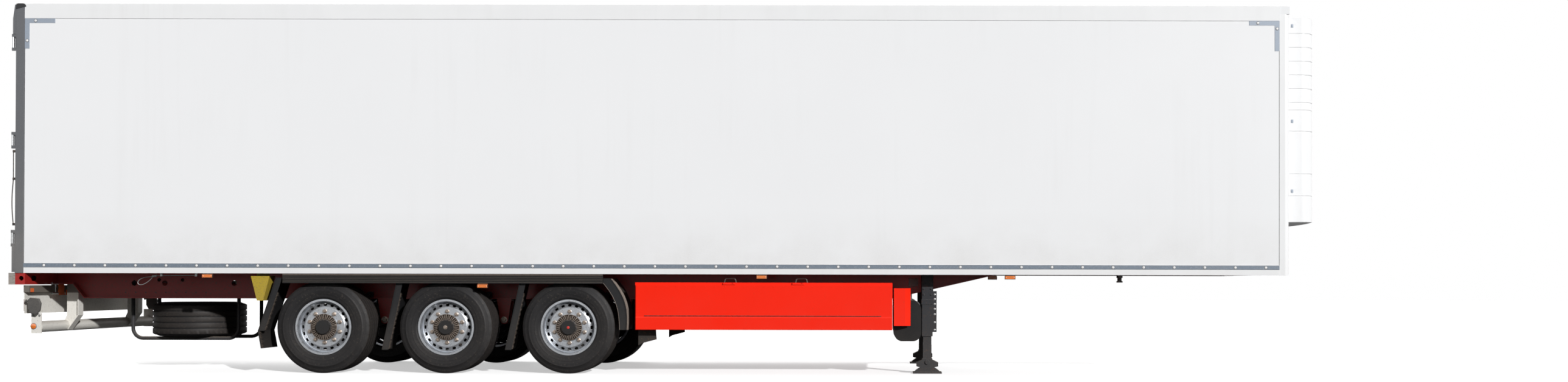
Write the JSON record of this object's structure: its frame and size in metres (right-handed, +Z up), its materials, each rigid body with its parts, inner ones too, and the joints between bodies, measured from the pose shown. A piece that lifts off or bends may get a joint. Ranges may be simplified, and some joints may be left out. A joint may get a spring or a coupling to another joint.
{
  "type": "three-axle insulated box semi trailer",
  "caption": "White insulated box semi trailer with cooling unit, air-sprung axles, rear doors, pallet box and landing legs, parked on its legs.",
  "frame": {"origin": "on the ground, midway along the trailer's whole length and width", "axes": "+X forward to the cooling unit, +Y to the trailer's left, +Z up"},
  "size_m": [14.021, 2.6, 3.917],
  "materials": {
    "panel_white": "satin",
    "roof_white": "satin",
    "edge_profile": "satin",
    "rub_rail": "satin",
    "corner_grey": "satin",
    "frame_grey": "satin",
    "door_white": "satin",
    "zinc_steel": "satin",
    "unit_white": "satin",
    "grille_black": "matt",
    "chassis_red": "satin",
    "kingpin_steel": "greasy",
    "beam_grey": "satin",
    "lamp_red": "gloss",
    "lamp_amber": "gloss",
    "bumper_white": "satin",
    "box_orange": "satin",
    "tank_black": "satin",
    "under_black": "satin",
    "leg_grey": "satin",
    "rim_silver": "satin",
    "tyre_rubber": "matt",
    "spring_rubber": "matt",
    "mudguard_black": "matt",
    "flap_rubber": "matt",
    "chock_yellow": "matt"
  },
  "bodies": {
    "root": {"floor": "panel_white", "side_wall_left": "panel_white", "side_wall_right": "panel_white", "roof": "roof_white", "front_wall": "panel_white", "front_corner_posts": "edge_profile", "floor_edge_profiles": "edge_profile", "rub_rails": "rub_rail", "roof_edge_profiles": "edge_profile", "corner_plates": "corner_grey", "rear_frame": "frame_grey", "cooling_unit_housing": "unit_white", "cooling_unit_grilles": "grille_black", "chassis_rails": "chassis_red", "cross_members": "chassis_red", "outriggers": "chassis_red", "coupling_plate": "chassis_red", "kingpin": "kingpin_steel", "tail_beam": "chassis_red", "buffers": "beam_grey", "lamp_carrier": "bumper_white", "tail_lamps": "lamp_red", "underrun_bumper": "bumper_white", "landing_gear": "leg_grey", "pallet_box": "box_orange", "fuel_tank": "tank_black", "tank_straps": "zinc_steel", "tank_guards": "box_orange", "axles": "under_black", "suspension_hangers": "chassis_red", "trailing_arms": "under_black", "air_springs": "spring_rubber", "mudguards": "mudguard_black", "mud_flaps": "flap_rubber", "spare_tyre": "tyre_rubber", "spare_rim": "rim_silver", "spare_carrier": "leg_grey", "air_tanks": "tank_black", "side_markers": "lamp_amber", "wheel_chocks": "chock_yellow"},
    "door_left": {"door_left": "door_white", "door_gear_left": "zinc_steel"},
    "pallet_flap_left": {"pallet_flap_left": "box_orange"},
    "door_right": {"door_right": "door_white", "door_gear_right": "zinc_steel"},
    "pallet_flap_right": {"pallet_flap_right": "box_orange"},
    "wheel_rear_left": {"tyre_rear_left": "tyre_rubber", "rim_rear_left": "rim_silver"},
    "wheel_rear_right": {"tyre_rear_right": "tyre_rubber", "rim_rear_right": "rim_silver"},
    "wheel_middle_left": {"tyre_middle_left": "tyre_rubber", "rim_middle_left": "rim_silver"},
    "wheel_middle_right": {"tyre_middle_right": "tyre_rubber", "rim_middle_right": "rim_silver"},
    "wheel_front_left": {"tyre_front_left": "tyre_rubber", "rim_front_left": "rim_silver"},
    "wheel_front_right": {"tyre_front_right": "tyre_rubber", "rim_front_right": "rim_silver"}
  },
  "joints": [
    {"name": "door_left_swing", "type": "hinge", "parent": "root", "child": "door_left", "pos_m": [-6.9845, 1.272, 2.5], "axis": [0, 0, -1], "range_deg": [0, 270]},
    {"name": "door_right_swing", "type": "hinge", "parent": "root", "child": "door_right", "pos_m": [-6.9845, -1.272, 2.5], "axis": [0, 0, 1], "range_deg": [0, 270]},
    {"name": "pallet_flap_left_lift", "type": "hinge", "parent": "root", "child": "pallet_flap_left", "pos_m": [0.999, 1.2645, 0.9558], "axis": [1, 0, 0], "range_deg": [0, 85]},
    {"name": "pallet_flap_right_lift", "type": "hinge", "parent": "root", "child": "pallet_flap_right", "pos_m": [0.999, -1.2645, 0.9558], "axis": [-1, 0, 0], "range_deg": [0, 85]},
    {"name": "wheel_rear_left_turn", "type": "hinge", "parent": "root", "child": "wheel_rear_left", "pos_m": [-3.7095, 1.02, 0.492], "axis": [0, 1, 0], "continuous": true},
    {"name": "wheel_rear_right_turn", "type": "hinge", "parent": "root", "child": "wheel_rear_right", "pos_m": [-3.7095, -1.02, 0.492], "axis": [0, 1, 0], "continuous": true},
    {"name": "wheel_middle_left_turn", "type": "hinge", "parent": "root", "child": "wheel_middle_left", "pos_m": [-2.3995, 1.02, 0.492], "axis": [0, 1, 0], "continuous": true},
    {"name": "wheel_middle_right_turn", "type": "hinge", "parent": "root", "child": "wheel_middle_right", "pos_m": [-2.3995, -1.02, 0.492], "axis": [0, 1, 0], "continuous": true},
    {"name": "wheel_front_left_turn", "type": "hinge", "parent": "root", "child": "wheel_front_left", "pos_m": [-1.0895, 1.02, 0.492], "axis": [0, 1, 0], "continuous": true},
    {"name": "wheel_front_right_turn", "type": "hinge", "parent": "root", "child": "wheel_front_right", "pos_m": [-1.0895, -1.02, 0.492], "axis": [0, 1, 0], "continuous": true}
  ]
}
